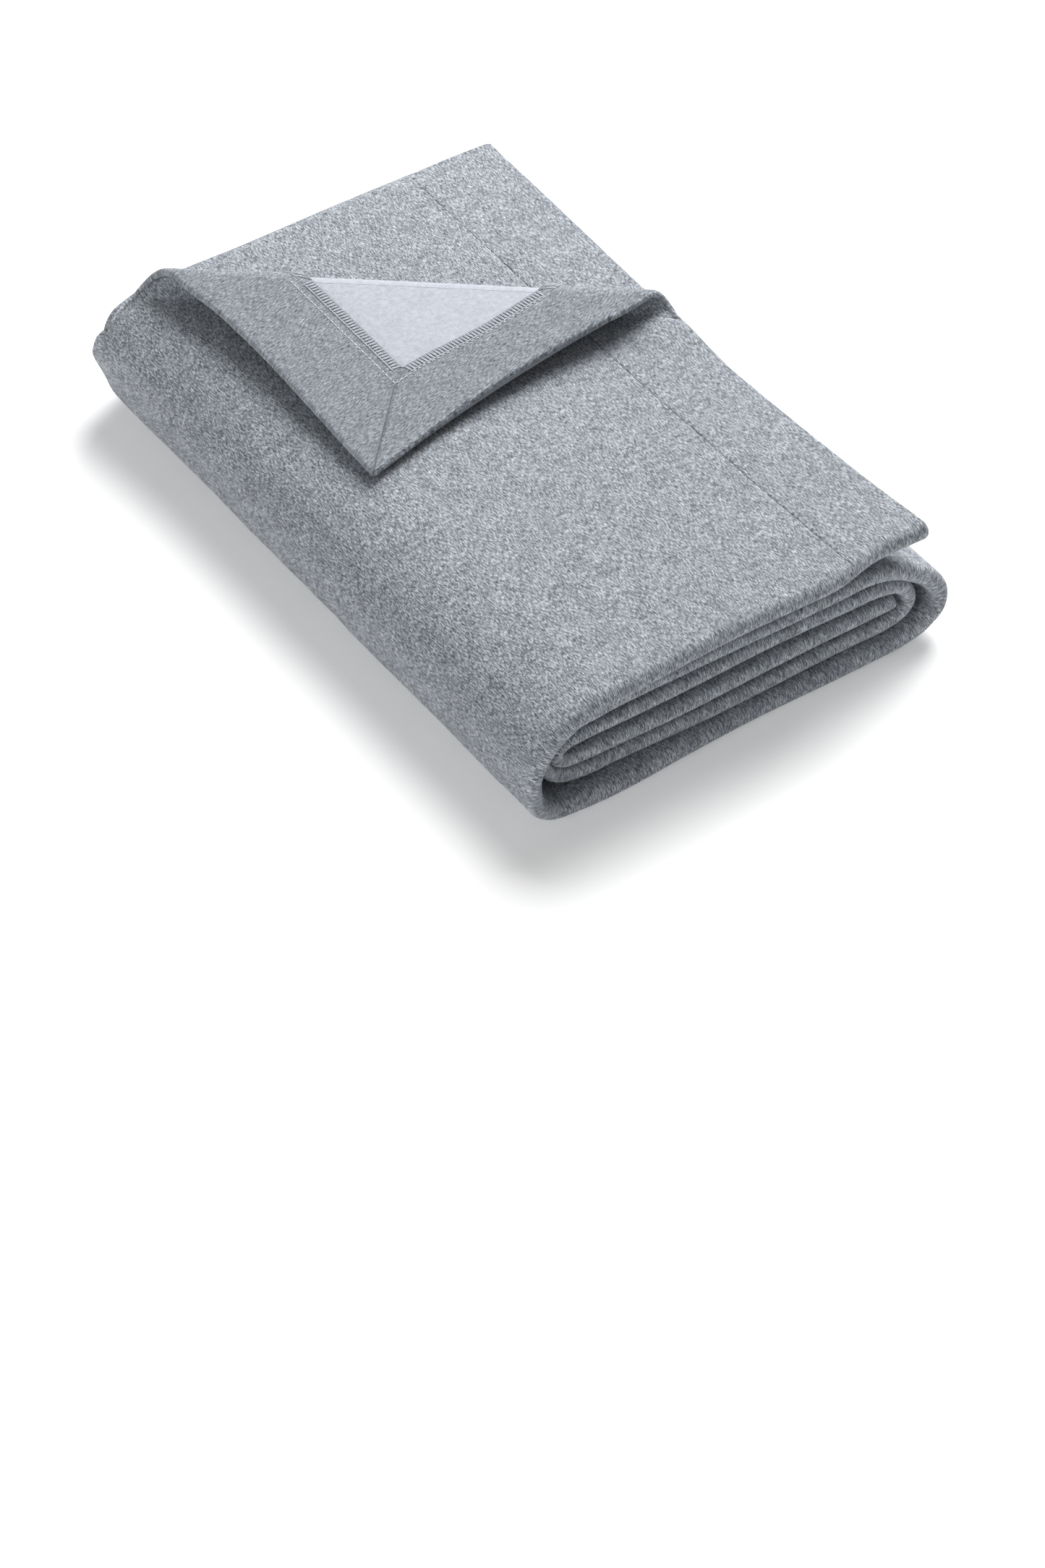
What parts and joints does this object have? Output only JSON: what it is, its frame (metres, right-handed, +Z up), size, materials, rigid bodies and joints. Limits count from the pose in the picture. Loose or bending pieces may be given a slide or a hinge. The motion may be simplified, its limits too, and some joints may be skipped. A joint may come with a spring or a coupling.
{
  "type": "folded throw blanket",
  "caption": "Folded grey knit throw blanket, rolled flat, with one hemmed corner turned back over the pile to show its pale brushed side.",
  "frame": {"origin": "centre of the bottom of the bounding box, on the surface that the pile rests on", "axes": "+X across the roll towards the side where the top layer ends, +Y along the folds from the front folds to the back hem, +Z up"},
  "size_m": [0.264, 0.421, 0.0933],
  "materials": {
    "jersey_face": "heather grey knitted face, matt with a slight sheen",
    "jersey_hem": "heather grey knitted face turned over as a hem",
    "brushed_fleece": "very pale blue-grey brushed fleece, soft and matt",
    "overlock_thread": "pale grey spun thread, overlocked",
    "needle_thread": "pale grey spun thread, a single row of stitches"
  },
  "bodies": {
    "folded_stack": {"bottom_layer": "jersey_face", "right_outer_wrap": "jersey_face", "under_top_layer": "jersey_face", "left_inner_wrap": "jersey_face", "lower_inner_layer": "jersey_face", "right_inner_wrap": "jersey_face", "upper_inner_layer": "jersey_face", "core_fold": "jersey_face", "core_layer": "jersey_face", "core_end_hem": "jersey_hem", "roll_back_hem": "jersey_hem", "lower_left_bend": "jersey_face"},
    "left_side": {"left_side_wall": "jersey_face", "left_side_back_hem": "jersey_hem", "upper_left_bend": "jersey_face"},
    "top_layer": {"top_outer_ply": "jersey_face", "top_middle_ply": "jersey_face", "top_inner_ply": "jersey_face", "top_front_fold": "jersey_face", "top_back_fold": "jersey_face", "top_end_edge": "jersey_hem", "top_end_hem": "jersey_hem", "top_end_overlock": "overlock_thread", "top_end_stitch": "needle_thread", "corner_curl": "jersey_face"},
    "turned_corner": {"corner_panel": "brushed_fleece", "corner_end_hem": "jersey_hem", "corner_side_hem": "jersey_hem", "corner_end_overlock": "overlock_thread", "corner_side_overlock": "overlock_thread", "corner_end_stitch": "needle_thread", "corner_side_stitch": "needle_thread", "corner_mitre_seam": "needle_thread"}
  },
  "joints": [
    {"name": "side_fold", "type": "hinge", "parent": "folded_stack", "child": "left_side", "pos_m": [-0.123, 0, 0.009], "axis": [0, -1, 0], "range_deg": [0, 90], "deforming": ["lower_left_bend"]},
    {"name": "top_fold", "type": "hinge", "parent": "left_side", "child": "top_layer", "pos_m": [-0.11956, 0, 0.06256], "axis": [0, -1, 0], "range_deg": [0, 90], "deforming": ["upper_left_bend"]},
    {"name": "corner_fold", "type": "hinge", "parent": "top_layer", "child": "turned_corner", "pos_m": [0.116, 0.0115, 0.08241], "axis": [-0.7548, 0.6559, 0], "range_deg": [0, 185], "deforming": ["corner_curl"]}
  ],
  "couplings": [
    {"joint": "top_fold", "follows": "side_fold", "ratio": 1}
  ]
}
